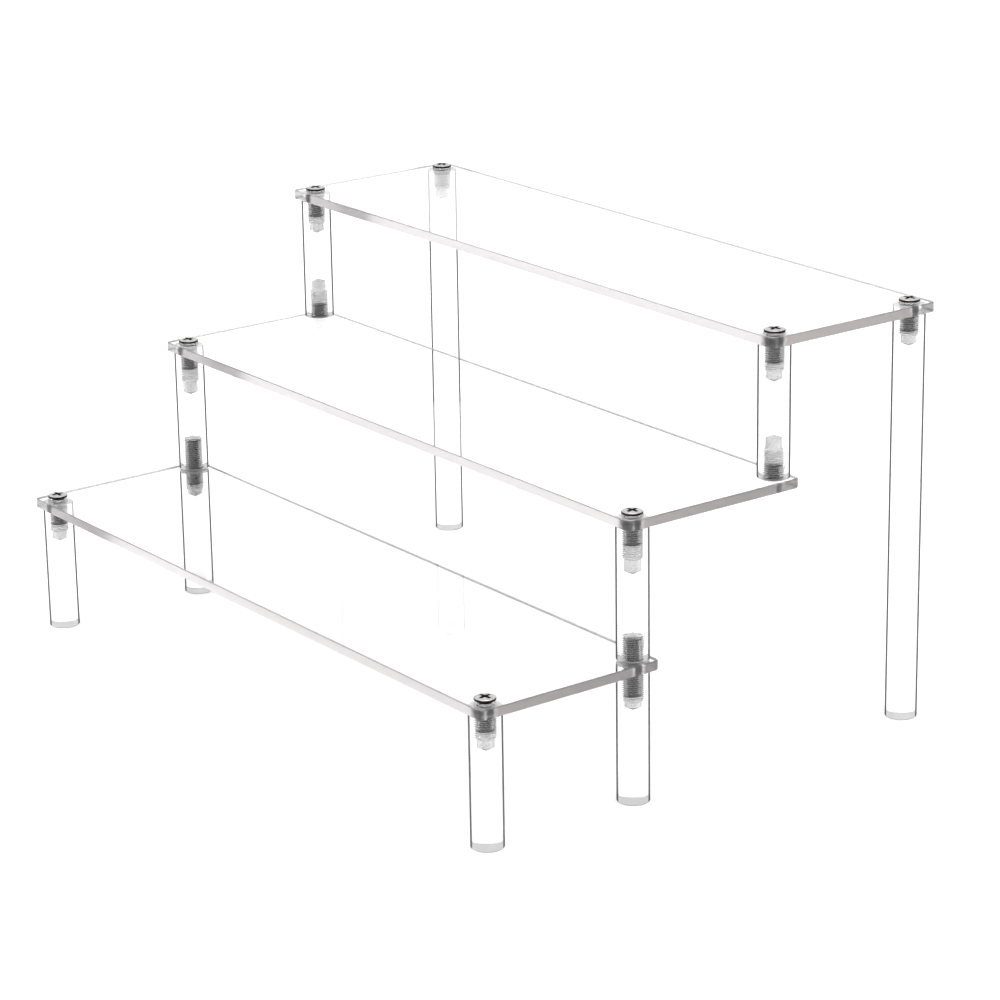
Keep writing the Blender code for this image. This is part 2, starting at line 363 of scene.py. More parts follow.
def thread_grid(axis, low, high, crest, root, pitch, columns):
    """A screw thread: each row starts a turn's thread form up the axis and climbs one pitch in a
    full turn, held between low and high. Its radius is crest, crest, root, root in turn, and is
    drawn to their mean within one pitch of either end."""
    turns = np.arange(math.floor(low / pitch) - 1, math.ceil(high / pitch) + 1)
    start = (turns[:, None] + THREAD_FORM).ravel()
    own_radius = np.tile([crest, crest, root, root], len(turns))
    angle = np.linspace(0.0, math.tau, columns + 1)
    height = np.clip(pitch * (start[:, None] + angle / math.tau), low, high)
    drawn = np.clip(np.minimum(height - low, high - height) / pitch, 0.0, 1.0)
    mean = (crest + root) / 2
    radius = mean + (own_radius[:, None] - mean) * drawn
    x = axis[0] + radius * np.cos(angle)
    y = axis[1] + radius * np.sin(angle)
    return np.stack([x, y, height], axis=-1)


def outline_grid(centre, half, radius, insets, heights, segments):
    """An edge profile carried round a rectangle with round corners: row i is the outline drawn in
    by insets[i] at heights[i], and each corner is an arc about its own centre."""
    corner = np.array([[1, 1], [-1, 1], [-1, -1], [1, -1]])
    middle = np.repeat(centre + corner * (half - radius), segments + 1, axis=0)
    quarter = np.linspace(0.0, math.pi / 2, segments + 1)
    angle = (np.arange(4)[:, None] * math.pi / 2 + quarter).ravel()
    middle = np.vstack([middle, middle[:1]])
    angle = np.append(angle, 0.0)
    arc = radius - np.asarray(insets, float)[:, None]
    x = middle[:, 0] + arc * np.cos(angle)
    y = middle[:, 1] + arc * np.sin(angle)
    z = np.asarray(heights, float)[:, None] + 0.0 * angle
    return np.stack([x, y, z], axis=-1)


def grid_faces(rows, columns, first):
    """The quads of a grid of rows by columns points, numbered from first."""
    number = first + np.arange(rows * columns).reshape(rows, columns)
    corners = (number[:-1, :-1], number[:-1, 1:], number[1:, 1:], number[1:, :-1])
    return np.stack(corners, axis=-1).reshape(-1, 4)


def sew_patches(name, patches, fill_levels=()):
    """One closed mesh from (grid, slot) patches that share their borders. fill_levels are the
    heights at which open borders are closed by a flat face, holes and all."""
    faces, slots, first = [], [], 0
    for grid, slot in patches:
        quads = grid_faces(grid.shape[0], grid.shape[1], first)
        faces.append(quads)
        slots.append(np.full(len(quads), slot))
        first += grid.shape[0] * grid.shape[1]
    points = np.concatenate([grid.reshape(-1, 3) for grid, _ in patches])
    mesh = bpy.data.meshes.new(name)
    mesh.from_pydata(points.tolist(), [], np.concatenate(faces).tolist())
    mesh.polygons.foreach_set("material_index", np.concatenate(slots).astype(np.int32))
    bm = bmesh.new()
    bm.from_mesh(mesh)
    bmesh.ops.remove_doubles(bm, verts=bm.verts, dist=MERGE_DISTANCE)
    for level in fill_levels:
        border = [edge for edge in bm.edges if edge.is_boundary
                  and all(abs(v.co.z - level) < MERGE_DISTANCE for v in edge.verts)]
        bmesh.ops.triangle_fill(bm, use_beauty=True, edges=border)
    bmesh.ops.recalc_face_normals(bm, faces=bm.faces)
    if not all(edge.is_manifold for edge in bm.edges):
        raise RuntimeError(f"{name} isn't a closed surface")
    bm.to_mesh(mesh)
    bm.free()
    shade_round(mesh)
    return mesh


def face_vectors(mesh, key):
    """The "normal" or "center" of every face, as an array of rows (x, y, z)."""
    vectors = np.empty(len(mesh.polygons) * 3, np.float32)
    mesh.polygons.foreach_get(key, vectors)
    return vectors.reshape(-1, 3)


def face_slots(mesh):
    """The material slot of every face."""
    slots = np.empty(len(mesh.polygons), np.int32)
    mesh.polygons.foreach_get("material_index", slots)
    return slots


def shade_round(mesh):
    """Smooth shading with sharp creases; level faces stay flat."""
    mesh.shade_smooth()
    mesh.set_sharp_from_angle(angle=SHARP_ANGLE)
    upward = np.abs(face_vectors(mesh, "normal")[:, 2])
    mesh.polygons.foreach_set("use_smooth", upward < LEVEL)


def add_piece(name, mesh, materials, node):
    """Links the piece, hands it to its CAD body and hides the CAD node that it stands for."""
    for material in materials:
        mesh.materials.append(material)
    piece = bpy.data.objects.new(name, mesh)
    bpy.context.scene.collection.objects.link(piece)
    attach(piece, BODY)
    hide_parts(node)
    return piece


# ---------------------------------------------------------------- material nodes
class Nodes:
    """A material and short ways to add and join its nodes."""

    def __init__(self, name):
        self.material = bpy.data.materials.new(name)
        self.material.use_nodes = True
        self.tree = self.material.node_tree
        self.shader = self.tree.nodes["Principled BSDF"]
        self.output = self.tree.nodes["Material Output"]

    def add(self, kind, **values):
        node = self.tree.nodes.new(kind)
        for key, value in values.items():
            setattr(node, key, value)
        return node

    def join(self, source, target):
        self.tree.links.new(source, target)

    def set(self, **values):
        """Constants on the shader's own sockets, with _ for a space in a socket's name."""
        for key, value in values.items():
            self.shader.inputs[key.replace("_", " ")].default_value = value

    def noise(self, scale, detail=3.0, stretch=(1.0, 1.0, 1.0)):
        """Noise on Object coordinates, in metres, stretched by the given scales."""
        place = self.add("ShaderNodeTexCoord")
        mapping = self.add("ShaderNodeMapping")
        mapping.inputs["Scale"].default_value = stretch
        texture = self.add("ShaderNodeTexNoise")
        texture.inputs["Scale"].default_value = scale
        texture.inputs["Detail"].default_value = detail
        self.join(place.outputs["Object"], mapping.inputs["Vector"])
        self.join(mapping.outputs["Vector"], texture.inputs["Vector"])
        return texture.outputs["Fac"]

    def spread(self, value, low, high, bottom=0.3, top=0.7):
        """A value from bottom to top taken to the range low to high."""
        span = self.add("ShaderNodeMapRange")
        span.inputs["From Min"].default_value = bottom
        span.inputs["From Max"].default_value = top
        span.inputs["To Min"].default_value = low
        span.inputs["To Max"].default_value = high
        self.join(value, span.inputs["Value"])
        return span.outputs["Result"]

    def blend(self, factor, first, second):
        """Colour between first and second by factor."""
        mix = self.add("ShaderNodeMix", data_type="RGBA")
        colours = [socket for socket in mix.inputs if socket.type == "RGBA"]
        colours[0].default_value = (*first, 1.0)
        colours[1].default_value = (*second, 1.0)
        self.join(factor, mix.inputs["Factor"])
        return next(socket for socket in mix.outputs if socket.type == "RGBA")

    def bump(self, height, distance, strength=1.0):
        node = self.add("ShaderNodeBump")
        node.inputs["Distance"].default_value = distance
        node.inputs["Strength"].default_value = strength
        self.join(height, node.inputs["Height"])
        self.join(node.outputs["Normal"], self.shader.inputs["Normal"])

    def math(self, operation, *values):
        """Arithmetic on one or two values, each a socket or a number."""
        node = self.add("ShaderNodeMath", operation=operation)
        for value, target in zip(values, node.inputs):
            if isinstance(value, bpy.types.NodeSocket):
                self.join(value, target)
            else:
                target.default_value = value
        return node.outputs["Value"]

    def attribute(self, name):
        return self.add("ShaderNodeAttribute", attribute_name=name).outputs["Fac"]

    def weight_range(self, start, end, low=0.0, high=1.0):
        """low where the surface faces the eye, rising to high where the eye only grazes it."""
        weight = self.add("ShaderNodeLayerWeight")
        weight.inputs["Blend"].default_value = 0.5
        return self.spread(weight.outputs["Facing"], low, high, start, end)

    def across(self, start, end, low=0.0, high=1.0):
        """The same for an upright round wall, judged only by how far round it the eye looks: the
        part of the wall's own facing that is left once the view is laid level."""
        wall = self.add("ShaderNodeLayerWeight")
        upright = self.add("ShaderNodeLayerWeight")
        up = self.add("ShaderNodeCombineXYZ")
        up.inputs["Z"].default_value = 1.0
        self.join(up.outputs["Vector"], upright.inputs["Normal"])
        for weight in (wall, upright):
            weight.inputs["Blend"].default_value = 0.5
        climb = self.math("SUBTRACT", 1.0, upright.outputs["Facing"])
        level = self.math("SQRT", self.math("SUBTRACT", 1.001, self.math("MULTIPLY", climb, climb)))
        towards = self.math("DIVIDE", self.math("SUBTRACT", 1.0, wall.outputs["Facing"]), level)
        return self.spread(self.math("SUBTRACT", 1.0, towards), low, high, start, end)

    def veil(self, factor, colour):
        """Lays a matt colour over the shader by factor. The colour is a socket or three numbers."""
        matt = self.add("ShaderNodeBsdfDiffuse")
        if isinstance(colour, bpy.types.NodeSocket):
            self.join(colour, matt.inputs["Color"])
        else:
            matt.inputs["Color"].default_value = (*colour, 1.0)
        mix = self.add("ShaderNodeMixShader")
        self.join(factor, mix.inputs["Fac"])
        self.join(self.shader.outputs["BSDF"], mix.inputs[1])
        self.join(matt.outputs["BSDF"], mix.inputs[2])
        self.join(mix.outputs["Shader"], self.output.inputs["Surface"])


def clear_acrylic(nodes, roughness=0.0):
    nodes.set(Base_Color=(1.0, 1.0, 1.0, 1.0), Roughness=roughness, IOR=ACRYLIC_IOR,
              Transmission_Weight=1.0)


def sheet_acrylic(settings):
    """Clear sheet: polished faces, and a cut edge whose faint saw grain the "cut" attribute
    switches on. The cut lays a painted grey shade on what it sends back inside, and more
    painted shade where light only grazes it, by a second face attribute. The "arris" attribute
    lays a painted dark shade on the broken edges. A thin volume gives the long way through the
    sheet its tint."""
    nodes = Nodes("sheet_acrylic")
    clear_acrylic(nodes)
    cut = nodes.attribute("cut")
    arris = nodes.attribute("arris")
    nodes.join(nodes.math("MULTIPLY", cut, settings.edge_roughness),
               nodes.shader.inputs["Roughness"])
    grain = nodes.noise(900.0, 4.0, (1.0, 1.0, 2.5))
    nodes.bump(nodes.math("MULTIPLY", grain, cut), 0.00002)
    inside = nodes.add("ShaderNodeNewGeometry").outputs["Backfacing"]
    # Painted grey shade on the cut, straight on and where grazed from inside the sheet, and less
    # from outside.
    straight = nodes.math("MULTIPLY", cut, settings.cut_veil)
    slant = nodes.math("MULTIPLY", nodes.attribute("painted_grazing_shade"),
                       nodes.weight_range(0.38, 0.60, 0.0, settings.grazing_veil))
    within = nodes.math("MULTIPLY", inside, nodes.math("MAXIMUM", straight, slant))
    without = nodes.math("MULTIPLY", straight, OUTER_CUT_SHARE)
    veiled = nodes.math("MAXIMUM", within, without)
    # Painted dark shade on the broken edges, much stronger seen through the sheet.
    through = nodes.spread(inside, OUTER_ARRIS_SHARE, settings.arris_veil, 0.0, 1.0)
    broken = nodes.math("MULTIPLY", arris, through)
    shade = nodes.blend(arris, settings.cut_painted_shade, settings.arris_painted_shade)
    nodes.veil(nodes.math("MAXIMUM", veiled, broken), shade)
    depth = nodes.add("ShaderNodeVolumeAbsorption")
    depth.inputs["Color"].default_value = (*settings.absorbed_tint, 1.0)
    depth.inputs["Density"].default_value = settings.absorption
    nodes.join(depth.outputs["Volume"], nodes.output.inputs["Volume"])
    return nodes.material


def rod_acrylic(settings):
    """Clear cast rod, whose wall gets a painted dark shade where the eye only grazes it from
    outside.
    """
    nodes = Nodes("rod_acrylic")
    clear_acrylic(nodes)
    geometry = nodes.add("ShaderNodeNewGeometry")
    outside = nodes.math("SUBTRACT", 1.0, geometry.outputs["Backfacing"])
    # Painted shade on the outline, laid only from outside.
    painted_outline = nodes.math("MULTIPLY", nodes.across(0.505, 0.59), outside)
    nodes.veil(painted_outline, settings.painted_outline_shade)
    return nodes.material


def rod_end(settings):
    """The faced end of a rod: satin, with a fine grain."""
    nodes = Nodes("rod_faced_end")
    clear_acrylic(nodes, settings.end_roughness)
    nodes.bump(nodes.noise(1500.0, 2.0), 0.00002)
    nodes.veil(nodes.spread(nodes.noise(700.0), 0.50, 0.70), settings.satin_colour)
    return nodes.material


def filled_thread(settings):
    """Cut thread with a screw in it: nearly clear acrylic under a painted shade, dark straight on
    where the screw is seen, and paler where it turns away.
    """
    nodes = Nodes("filled_thread_acrylic")
    clear_acrylic(nodes)
    grain = nodes.noise(1800.0, 3.0, (1.0, 1.0, 3.0))
    nodes.join(nodes.spread(grain, 0.22, 0.30), nodes.shader.inputs["Roughness"])
    nodes.bump(grain, 0.000003)
    shade = nodes.blend(nodes.across(0.25, 0.70), settings.painted_shade_colour, settings.painted_hole_shade)
    nodes.veil(nodes.across(0.20, 0.75, 0.48, 0.75), shade)
    return nodes.material


def empty_thread(settings):
    """Cut thread beyond the screw: frosted, with a torn grain, and a painted shade where it turns
    away.
    """
    nodes = Nodes("empty_thread_acrylic")
    clear_acrylic(nodes)
    grain = nodes.noise(1800.0, 3.0, (1.0, 1.0, 3.0))
    nodes.join(nodes.spread(grain, 0.18, 0.30), nodes.shader.inputs["Roughness"])
    nodes.bump(grain, 0.000008)
    shade = nodes.blend(nodes.across(0.25, 0.80), settings.frost_colour, settings.painted_hole_shade)
    nodes.veil(nodes.across(0.20, 0.75, 0.42, 0.75), shade)
    return nodes.material


def drilled_wall(settings):
    """Drilled hole in clear rod: evenly frosted, with drawn-out drill marks, and a painted shade
    where its wall turns away.
    """
    nodes = Nodes("drilled_acrylic")
    clear_acrylic(nodes)
    grain = nodes.noise(1200.0, 3.0, (1.0, 1.0, 4.0))
    nodes.join(nodes.spread(grain, 0.24, 0.34), nodes.shader.inputs["Roughness"])
    nodes.bump(grain, 0.00001)
    shade = nodes.blend(nodes.across(0.30, 0.90), settings.frost_colour, settings.painted_hole_shade)
    nodes.veil(nodes.spread(nodes.noise(500.0), 0.68, 0.76), shade)
    return nodes.material


def steel(name, colour, roughness, scale, distance):
    """Steel with blotched roughness and a fine uneven surface."""
    nodes = Nodes(name)
    nodes.set(Metallic=1.0)
    patches = nodes.noise(scale, 3.0)
    shades = nodes.blend(patches, tuple(0.82 * c for c in colour), tuple(1.15 * c for c in colour))
    nodes.join(shades, nodes.shader.inputs["Base Color"])
    rough = nodes.spread(patches, roughness * 0.75, roughness * 1.35)
    nodes.join(rough, nodes.shader.inputs["Roughness"])
    nodes.bump(nodes.noise(scale * 5.0, 2.0), distance)
    return nodes.material


def steel_set(settings):
    """The steel finishes by name, made once and shared by every screw and stud: the bright plating,
    the rolled thread darkened as painted shade, and a near-black steel that is painted shade.
    """
    names = ("plated_steel", "rolled_thread_painted_dark", "painted_shade_steel")
    if names[0] not in bpy.data.materials:
        steel(names[0], settings.plating_colour, 0.24, 700.0, 0.000006)
        steel(names[1], settings.thread_painted_shade, 0.34, 900.0, 0.000003)
        steel(names[2], settings.painted_shade_colour, 0.42, 900.0, 0.000006)
    return [bpy.data.materials[name] for name in names]


# ---------------------------------------------------------------- plates
class RISER_OT_shelves(bpy.types.Operator):
    """Builds the three clear plates with their broken edges, round corners and holes"""

    bl_idname = "riser.shelves"
    bl_label = "Build Shelves"
    bl_options = {"REGISTER", "UNDO"}

    def execute(self, context):
        sheet = context.scene.riser_sheet
        material = sheet_acrylic(sheet)
        for name in SHELVES:
            self.build_plate(context, name, material)
        return {"FINISHED"}

    def build_plate(self, context, name, material):
        """The edge is the profile arris, wall, arris carried round the outline, each hole the same
        profile turned, and both faces are filled flat between them."""
        sheet = context.scene.riser_sheet
        low, high = (np.array(corner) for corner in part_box(name))
        middle = (low + high)[:2] / 2
        half = (high - low)[:2] / 2
        arris = sheet.arris
        levels = [low[2], low[2] + arris, high[2] - arris, high[2]]
        segments = context.scene.riser_mesh.corner_segments
        edge = outline_grid(middle, half, sheet.corner_radius, [arris, 0.0, 0.0, arris], levels,
                            segments)
        patches = [(edge, EDGE)]
        for axis in rod_axes_at(low, high):
            patches += [(grid, HOLE) for grid in self.hole(context, name, axis, levels)]
        mesh = sew_patches(name + "_sheet", patches, fill_levels=(low[2], high[2]))
        self.store_finish(mesh, EDGE_GRAZING_SHADE[name])
        add_piece(name + "_plate", mesh, [material], name)

    def store_finish(self, mesh, edge_grazing_shade):
        """Turns the patches' slots into the attributes that the sheet's material reads, and puts
        every face in its one slot. Arrises are the cut faces that are neither level nor upright."""
        slots = face_slots(mesh)
        upward = np.abs(face_vectors(mesh, "normal")[:, 2])
        slanted = np.abs(upward - 0.5) < 0.4
        cut = np.array([0.0, 1.0, HOLE_DULLNESS_AND_SHADE])[slots]
        # The second attribute is the painted grazing shade of the cut, per plate; the arris one
        # marks the broken edges for painted dark shade.
        finish = {"cut": cut, "painted_grazing_shade": cut * edge_grazing_shade, "arris": slanted * cut}
        for key, values in finish.items():
            layer = mesh.attributes.new(key, "FLOAT", "FACE")
            layer.data.foreach_set("value", values.astype(np.float32))
        mesh.polygons.foreach_set("material_index", np.full_like(slots, FACE))

    def hole(self, context, name, axis, levels):
        """A plain hole, or a tapped one where the headless screw goes through the plate."""
        sheet, rod = context.scene.riser_sheet, context.scene.riser_rod
        screw, columns = context.scene.riser_screw, context.scene.riser_mesh.columns
        tapped = name == TAPPED_SHELF and any(
            np.allclose(axis, node_axis(f"{TAPPED_BY}_{side}"), atol=SAME_AXIS)
            for side in SIDES)
        if not tapped:
            wall = sheet.hole_diameter / 2
            radii = [wall + sheet.arris, wall, wall, wall + sheet.arris]
            return [ring_grid(axis, radii, levels, columns)]
        crest, root, mean = thread_radii(rod.crest_diameter, screw.thread_height)
        mouth = crest + sheet.arris
        foot = ring_grid(axis, [mouth, mean], levels[:2], columns)
        thread = thread_grid(axis, levels[1], levels[2], crest, root, screw.pitch, columns)
        head = ring_grid(axis, [mean, mouth], levels[2:], columns)
        return [foot, thread, head]


def rod_axes_at(low, high):
    """The axes of the rods that stand under or on a plate, each once."""
    axes = [node_axis(f"{rod}_{side}") for rod in RODS for side in SIDES
            if touches(f"{rod}_{side}", low, high)]
    return np.unique(np.round(axes, 5), axis=0)


def touches(rod, low, high):
    """True if the rod ends within a millimetre of the plate whose corners are low and high."""
    foot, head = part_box(rod)
    axis = node_axis(rod)
    inside = bool(np.all(axis > low[:2]) and np.all(axis < high[:2]))
    meets = abs(head.z - low[2]) < SAME_LEVEL or abs(foot.z - high[2]) < SAME_LEVEL
    return inside and meets


def filled_levels(axis):
    """Lowest and highest point of each screw and stud on an axis."""
    boxes = [(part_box(f"{base}_{side}"), node_axis(f"{base}_{side}"))
             for base in SCREWS + HEADLESS for side in SIDES]
    return [(low.z, high.z) for (low, high), own in boxes
            if np.allclose(own, axis, atol=SAME_AXIS)]


# ---------------------------------------------------------------- rods
class RISER_OT_rods(bpy.types.Operator):
    """Builds the ten clear rods with their tapped blind holes"""

    bl_idname = "riser.rods"
    bl_label = "Build Rods"
    bl_options = {"REGISTER", "UNDO"}

    def execute(self, context):
        rod = context.scene.riser_rod
        materials = [rod_acrylic(rod), rod_end(rod), filled_thread(rod), empty_thread(rod),
                     drilled_wall(rod)]
        for name in RODS:
            for side in SIDES:
                self.build_rod(context, f"{name}_{side}", materials)
        return {"FINISHED"}

    def build_rod(self, context, name, materials):
        """From the head's drill tip out to its mouth, over the end, down the wall and back in."""
        rod, columns = context.scene.riser_rod, context.scene.riser_mesh.columns
        low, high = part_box(name)
        axis = node_axis(name)
        radius = (high.x - low.x) / 2
        holes = tapped_holes(name)
        wall_radii = [radius - rod.arris, radius, radius, radius - rod.arris]
        wall_heights = [high.z, high.z - rod.arris, low.z + rod.arris, low.z]
        patches = [(ring_grid(axis, wall_radii, wall_heights, columns), WALL)]
        for end in (high.z, low.z):
            inner = 0.0
            for mouth, thread_end, tip in holes:
                if abs(mouth - end) < SAME_LEVEL:
                    made, inner = self.blind_hole(context, name, axis, end, thread_end, tip)
                    patches += made
            face = ring_grid(axis, [radius - rod.arris, inner], [end, end], columns)
            patches.append((face, END))
        mesh = sew_patches(name + "_rod", patches)
        self.mark_empty_thread(mesh, filled_levels(axis))
        add_piece(name + "_clear", mesh, materials, name)

    def blind_hole(self, context, name, axis, mouth, thread_end, tip):
        """A chamfered mouth, the thread, the drilled hole beyond it and the cone of the drill.
        Returns its patches and the radius of its mouth."""
        rod, screw = context.scene.riser_rod, context.scene.riser_screw
        columns = context.scene.riser_mesh.columns
        into = math.copysign(1.0, tip - mouth)
        crest, root, mean = thread_radii(rod.crest_diameter, screw.thread_height)
        start = mouth + into * rod.mouth_chamfer
        outer = crest + rod.mouth_chamfer
        chamfer = ring_grid(axis, [outer, mean], [mouth, start], columns)
        low, high = sorted((start, thread_end))
        thread = thread_grid(axis, low, high, crest, root, screw.pitch, columns)
        drill, cone = self.drill(name, mouth, tip)
        radii = [mean, drill, drill, drill * 0.5, 0.0]
        heights = [thread_end, thread_end + into * (mean - drill), tip - into * cone,
                   tip - into * cone * 0.5, tip]
        bore = ring_grid(axis, radii, heights, columns)
        return [(chamfer, FILLED_THREAD), (thread, FILLED_THREAD), (bore, DRILLED)], outer

    def mark_empty_thread(self, mesh, filled):
        """Gives the thread that no screw or stud reaches the next slot."""
        slots = face_slots(mesh)
        heights = face_vectors(mesh, "center")[:, 2]
        reached = np.zeros(len(slots), bool)
        for low, high in filled:
            reached |= (heights > low) & (heights < high)
        slots[(slots == FILLED_THREAD) & ~reached] = EMPTY_THREAD
        mesh.polygons.foreach_set("material_index", slots)

    def drill(self, name, mouth, tip):
        """Radius of the drilled hole and height of its cone, read from the CAD node."""
        points = node_points(name)
        reach = np.hypot(*(points[:, :2] - node_axis(name)).T)
        beyond = np.abs(points[:, 2] - tip)
        ring = (reach > ON_AXIS) & (np.abs(points[:, 2] - mouth) > SAME_LEVEL)
        nearest = np.where(ring, beyond, np.inf).argmin()
        return reach[nearest], beyond[nearest]


# ---------------------------------------------------------------- screws and studs
def recess_arm(screw, axis, crown, turn):
    """One arm of the cross recess: a block on the crown that narrows and shortens downwards,
    turned about the axis."""
    half_span, half_width = screw.recess_span / 2, screw.recess_width / 2
    top = crown + screw.recess_depth * RECESS_LIFT
    bottom = crown - screw.recess_depth
    share = np.array([1.0, RECESS_FOOT])
    corner = np.array([[1, 1], [-1, 1], [-1, -1], [1, -1]])
    spread = corner[None] * np.array([half_span, half_width]) * share[:, None, None]
    turned = spread @ np.array([[math.cos(turn), math.sin(turn)],
                                [-math.sin(turn), math.cos(turn)]])
    heights = np.repeat([top, bottom], 4).reshape(2, 4, 1)
    points = np.concatenate([turned + axis, heights], axis=-1).reshape(-1, 3)
    sides = [(i, i + 4, (i + 1) % 4 + 4, (i + 1) % 4) for i in range(4)]
    mesh = bpy.data.meshes.new("recess_arm")
    mesh.from_pydata(points.tolist(), [], [(0, 1, 2, 3), (7, 6, 5, 4), *sides])
    return mesh


def socket_block(screw, axis, foot):
    """A hexagonal prism that cuts the socket in the foot of a headless screw."""
    corner = screw.socket_across_flats / math.sqrt(3)
    outer, inner = foot - screw.socket_depth * SOCKET_LIFT, foot + screw.socket_depth
    grid = ring_grid(axis, [0.0, corner, corner, 0.0], [outer, outer, inner, inner], 6)
    return sew_patches("socket_block", [(grid, 0)])


def cut_out(mesh, blocks, materials, slot):
    """The mesh less the blocks, whose cut faces take the given slot of the materials."""
    for part in (mesh, *blocks):
        for material in materials:
            part.materials.append(material)
    body = bpy.data.objects.new("cut_body", mesh)
    bpy.context.scene.collection.objects.link(body)
    tools = []
    for block in blocks:
        block.polygons.foreach_set("material_index", np.full(len(block.polygons), slot, np.int32))
        bm = bmesh.new()
        bm.from_mesh(block)
        bmesh.ops.recalc_face_normals(bm, faces=bm.faces)
        bm.to_mesh(block)
        bm.free()
        tool = bpy.data.objects.new("cut_tool", block)
        bpy.context.scene.collection.objects.link(tool)
        boolean = body.modifiers.new("cut", "BOOLEAN")
        boolean.operation = "DIFFERENCE"
        boolean.solver = "EXACT"
        boolean.object = tool
        tools.append(tool)
    bpy.context.view_layer.update()
    result = bpy.data.meshes.new_from_object(
        body.evaluated_get(bpy.context.evaluated_depsgraph_get()))
    for obj in (body, *tools):
        bpy.data.objects.remove(obj, do_unlink=True)
    shade_round(result)
    return result


def shank_patches(screw, axis, low, high, columns, chamfers):
    """A threaded shank between two heights, pointed at the ends that chamfers names. Returns its
    patches and the radius at which an end that isn't pointed stays open."""
    crest, root, mean = thread_radii(screw.crest_diameter, screw.thread_height)
    tip = mean - screw.point
    bottom = low + (screw.point if "low" in chamfers else 0.0)
    top = high - (screw.point if "high" in chamfers else 0.0)
    grids = [thread_grid(axis, bottom, top, crest, root, screw.pitch, columns)]
    if "low" in chamfers:
        grids.append(ring_grid(axis, [0.0, tip, mean], [low, low, bottom], columns))
    if "high" in chamfers:
        grids.append(ring_grid(axis, [mean, tip, 0.0], [top, high, high], columns))
    return [(grid, ROLLED) for grid in grids], mean


class RISER_OT_screws(bpy.types.Operator):
    """Builds the eight cross-recess screws"""

    bl_idname = "riser.screws"
    bl_label = "Build Screws"
    bl_options = {"REGISTER", "UNDO"}

    def execute(self, context):
        materials = steel_set(context.scene.riser_screw)
        for name in SCREWS:
            for side in SIDES:
                self.build_screw(context, f"{name}_{side}", materials)
        return {"FINISHED"}

    def build_screw(self, context, name, materials):
        """The head is a turned profile: a crowned top on a short upright rim, with a small
        fillet between them. The shank's thread is a helix, and the cross recess is cut out. The
        rim, the underside and the recess take the near-black steel of painted shade."""
        screw, columns = context.scene.riser_screw, context.scene.riser_mesh.columns
        low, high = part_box(name)
        axis = node_axis(name)
        rim = (high.x - low.x) / 2
        seat, shoulder = self.head_levels(name)
        shank, mean = shank_patches(screw, axis, low.z, seat, columns, ("low",))
        bend = np.radians(np.linspace(0.0, 80.0, 12))
        crown_radii = rim * np.sin(bend) * CROWN_SHARE
        crown_heights = shoulder + (high.z - shoulder) * np.cos(bend)
        top = ring_grid(axis, crown_radii, crown_heights, columns)
        side_radii = [crown_radii[-1], rim, rim, rim - HEAD_FILLET, mean]
        side_heights = [crown_heights[-1], shoulder - HEAD_FILLET, seat + HEAD_FILLET, seat, seat]
        side = ring_grid(axis, side_radii, side_heights, columns)
        mesh = sew_patches(name + "_body", shank + [(top, PLATED), (side, PAINTED_SHADE)])
        turn = RECESS_TURN + RECESS_TURN_STEP * (sum(map(ord, name)) % 7 - 3)
        arms = [recess_arm(screw, axis, high.z, turn + quarter) for quarter in (0.0, math.pi / 2)]
        mesh = cut_out(mesh, arms, materials, PAINTED_SHADE)
        add_piece(name + "_steel", mesh, [], name)

    def head_levels(self, name):
        """Heights of the head's seat and of the top of its rim, read from the CAD node."""
        points = node_points(name)
        reach = np.hypot(*(points[:, :2] - node_axis(name)).T)
        widest = points[reach > reach.max() * AT_RIM, 2]
        return widest.min(), widest.max()


class RISER_OT_headless(bpy.types.Operator):
    """Builds the joining studs and the headless screws, with their hexagon sockets"""

    bl_idname = "riser.headless"
    bl_label = "Build Studs"
    bl_options = {"REGISTER", "UNDO"}

    def execute(self, context):
        screw, columns = context.scene.riser_screw, context.scene.riser_mesh.columns
        materials = steel_set(screw)
        for base in HEADLESS:
            for side in SIDES:
                name = f"{base}_{side}"
                low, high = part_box(name)
                axis = node_axis(name)
                patches, _ = shank_patches(screw, axis, low.z, high.z, columns, ("low", "high"))
                mesh = sew_patches(name + "_body", patches)
                # The cut socket takes the near-black steel of painted shade.
                mesh = cut_out(mesh, [socket_block(screw, axis, low.z)], materials, PAINTED_SHADE)
                add_piece(name + "_steel", mesh, [], name)
        return {"FINISHED"}


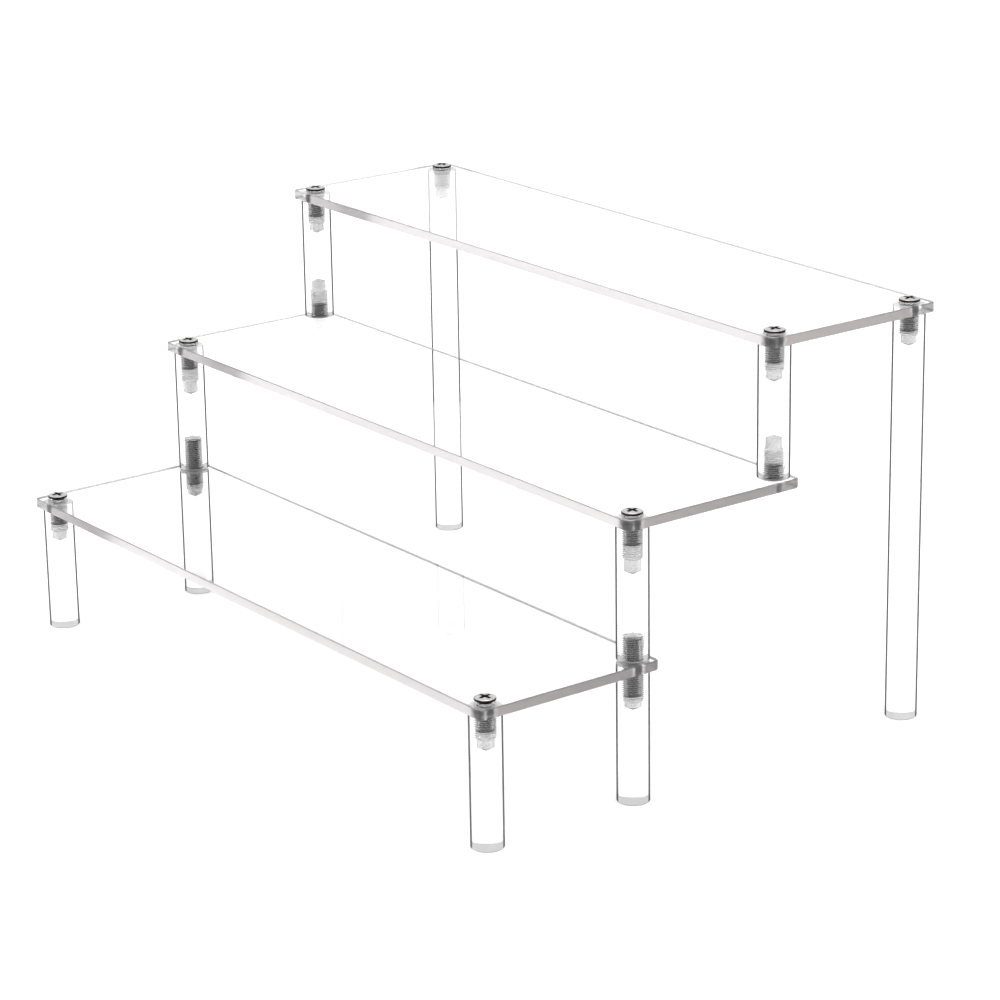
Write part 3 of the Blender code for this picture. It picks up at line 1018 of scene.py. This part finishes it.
# ---------------------------------------------------------------- stage
class RISER_OT_stage(bpy.types.Operator):
    """Sets the camera, the pale floor, the white surround and the softbox"""

    bl_idname = "riser.stage"
    bl_label = "Set Stage"
    bl_options = {"REGISTER", "UNDO"}

    def execute(self, context):
        stage = context.scene.riser_stage
        self.camera(context, stage)
        self.floor(context, stage)
        self.lights(context, stage)
        self.light_paths(context)
        return {"FINISHED"}

    def camera(self, context, stage):
        """Looks at the aim from its azimuth and elevation, then rolls."""
        data = bpy.data.cameras.new("camera")
        data.lens = stage.lens
        data.sensor_width = 36.0
        camera = bpy.data.objects.new("camera", data)
        context.scene.collection.objects.link(camera)
        flat = math.cos(stage.elevation)
        back = Vector((math.sin(stage.azimuth) * flat, -math.cos(stage.azimuth) * flat,
                       math.sin(stage.elevation)))
        turn = back.to_track_quat("Z", "Y").to_matrix() @ Matrix.Rotation(stage.roll, 3, "Z")
        camera.matrix_world = Matrix.Translation(Vector(stage.aim) + back * stage.distance) \
            @ turn.to_4x4()
        context.scene.camera = camera

    def floor(self, context, stage):
        half = stage.floor_size / 2
        corners = [(-half, -half), (half, -half), (half, half), (-half, half)]
        mesh = bpy.data.meshes.new("floor")
        mesh.from_pydata([(x, y, -FLOOR_DROP) for x, y in corners], [], [(0, 1, 2, 3)])
        nodes = Nodes("floor_paper")
        nodes.set(Roughness=0.9, Specular_IOR_Level=0.1)
        tone = nodes.blend(nodes.noise(2.0), tuple(0.99 * c for c in stage.floor_colour),
                           stage.floor_colour)
        nodes.join(tone, nodes.shader.inputs["Base Color"])
        mesh.materials.append(nodes.material)
        floor = bpy.data.objects.new("floor", mesh)
        context.scene.collection.objects.link(floor)

    def lights(self, context, stage):
        world = bpy.data.worlds.new("studio")
        world.use_nodes = True
        background = world.node_tree.nodes["Background"]
        background.inputs["Color"].default_value = (1.0, 1.0, 1.0, 1.0)
        background.inputs["Strength"].default_value = stage.surround
        context.scene.world = world
        data = bpy.data.lights.new("softbox", "AREA")
        data.shape = "SQUARE"
        data.size = stage.softbox_size
        data.energy = stage.softbox_power
        softbox = bpy.data.objects.new("softbox", data)
        softbox.location = (0.0, 0.0, stage.softbox_height)
        context.scene.collection.objects.link(softbox)

    def light_paths(self, context):
        """Light bounces many times inside the plates before it leaves by an edge."""
        context.scene.view_settings.view_transform = "Standard"
        cycles = context.scene.cycles
        cycles.max_bounces = 64
        cycles.transmission_bounces = 64
        cycles.glossy_bounces = 64
        cycles.transparent_max_bounces = 16


# ---------------------------------------------------------------- panel and registration
class RISER_PT_panel(bpy.types.Panel):
    """Lists the settings and the build steps of the riser"""

    bl_idname = "RISER_PT_panel"
    bl_label = "Tiered Shelf Riser"
    bl_space_type = "VIEW_3D"
    bl_region_type = "UI"
    bl_category = "Riser"

    def draw(self, context):
        for operator in OPERATORS:
            self.layout.operator(operator.bl_idname)
        for key, group in SETTINGS.items():
            box = self.layout.box()
            box.label(text=group.__name__)
            for name in group.__annotations__:
                box.prop(getattr(context.scene, key), name)


OPERATORS = (RISER_OT_stage, RISER_OT_shelves, RISER_OT_rods, RISER_OT_screws, RISER_OT_headless)


def register():
    for group in (*SETTINGS.values(), *OPERATORS, RISER_PT_panel):
        bpy.utils.register_class(group)
    for key, group in SETTINGS.items():
        setattr(bpy.types.Scene, key, PointerProperty(type=group))


def unregister():
    for key in SETTINGS:
        delattr(bpy.types.Scene, key)
    for group in (RISER_PT_panel, *reversed(OPERATORS), *reversed(SETTINGS.values())):
        bpy.utils.unregister_class(group)


def main():
    register()
    bpy.ops.riser.stage()
    bpy.ops.riser.shelves()
    bpy.ops.riser.rods()
    bpy.ops.riser.screws()
    bpy.ops.riser.headless()


if __name__ == "__main__":
    main()
